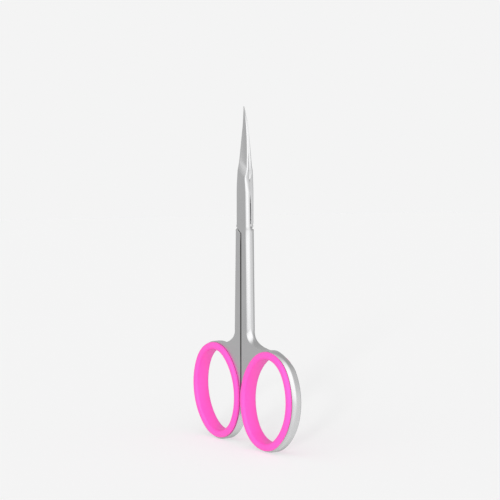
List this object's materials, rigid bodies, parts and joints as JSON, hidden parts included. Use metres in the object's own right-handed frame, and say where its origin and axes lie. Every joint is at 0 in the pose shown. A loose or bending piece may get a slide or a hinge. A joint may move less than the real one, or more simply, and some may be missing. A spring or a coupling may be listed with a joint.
{
  "type": "cuticle scissors",
  "caption": "Straight fine-tipped cuticle scissors: two half-lapped steel halves on a pivot screw, with soft inserts in the finger rings.",
  "frame": {"origin": "at the height of the finger rings' lowest point, under the middle of the closed scissors, which are held upright by a finger ring, as they are in use", "axes": "+Z along the closed blades to the tips, +Y through the thickness towards the back, where the screw's head is, +X towards the front half's finger ring"},
  "size_m": [0.0602, 0.0058, 0.117],
  "materials": {
    "front_steel": "satin-ground flat faces with polished rounded edges",
    "rear_steel": "satin-ground flat faces with polished rounded edges",
    "screw_steel": "turned and polished, with a driver slot",
    "insert_plastic": "moulded soft pink silicone, semi-gloss"
  },
  "bodies": {
    "front_half": {"front_half": "front_steel", "front_ring_insert": "insert_plastic", "pivot_screw": "screw_steel"},
    "rear_half": {"rear_half": "rear_steel", "rear_ring_insert": "insert_plastic"}
  },
  "joints": [
    {"name": "blade_pivot", "type": "hinge", "parent": "front_half", "child": "rear_half", "pos_m": [0, 0, 0.0845], "axis": [0, 1, 0], "range_deg": [0, 50]}
  ]
}
